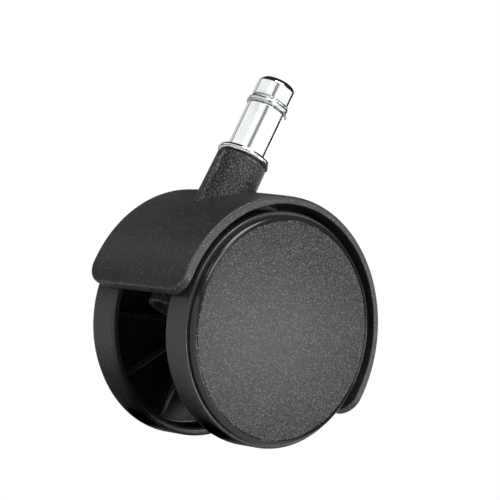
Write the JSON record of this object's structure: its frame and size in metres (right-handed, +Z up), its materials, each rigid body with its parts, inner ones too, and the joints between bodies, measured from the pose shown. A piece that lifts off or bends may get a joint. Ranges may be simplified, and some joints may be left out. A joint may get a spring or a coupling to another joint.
{
  "type": "chair caster",
  "caption": "Hooded swivel caster for an office chair: side-by-side wheels trail under an arched hood, and a grip-ring stem pushes up into the chair base.",
  "frame": {"origin": "centre of the stem flange's top face, where the chair base seats, on the stem axis", "axes": "+Z up along the stem, the wheels trail towards +X, and the axle lies along Y with the left wheel at -Y"},
  "size_m": [0.074, 0.0444, 0.0965],
  "materials": {
    "plated_steel": "bright zinc plate on turned steel",
    "spring_steel": "plated spring steel",
    "washer_plastic": "black nylon",
    "housing_plastic": "fine spark-eroded grain, black",
    "axle_steel": "drawn steel",
    "wheel_plastic": "gloss, black nylon",
    "tread_plastic": "satin gloss, black nylon",
    "cover_plastic": "coarse grain, black"
  },
  "bodies": {
    "stem_pin": {"stem": "plated_steel", "grip_ring": "spring_steel", "stem_clip": "spring_steel"},
    "fork": {"housing": "housing_plastic", "thrust_washer": "washer_plastic", "axle": "axle_steel", "axle_washer_left": "axle_steel", "axle_washer_right": "axle_steel", "push_nut_left": "spring_steel", "push_nut_right": "spring_steel"},
    "left_wheel": {"wheel_left": "wheel_plastic", "tread_left": "tread_plastic", "cover_left": "cover_plastic"},
    "right_wheel": {"wheel_right": "wheel_plastic", "tread_right": "tread_plastic", "cover_right": "cover_plastic"}
  },
  "joints": [
    {"name": "swivel", "type": "hinge", "parent": "stem_pin", "child": "fork", "pos_m": [0, 0, 0], "axis": [0, 0, 1], "continuous": true},
    {"name": "left_wheel_spin", "type": "hinge", "parent": "fork", "child": "left_wheel", "pos_m": [0.0204, 0, -0.0419], "axis": [0, 1, 0], "continuous": true},
    {"name": "right_wheel_spin", "type": "hinge", "parent": "fork", "child": "right_wheel", "pos_m": [0.0204, 0, -0.0419], "axis": [0, 1, 0], "continuous": true}
  ]
}
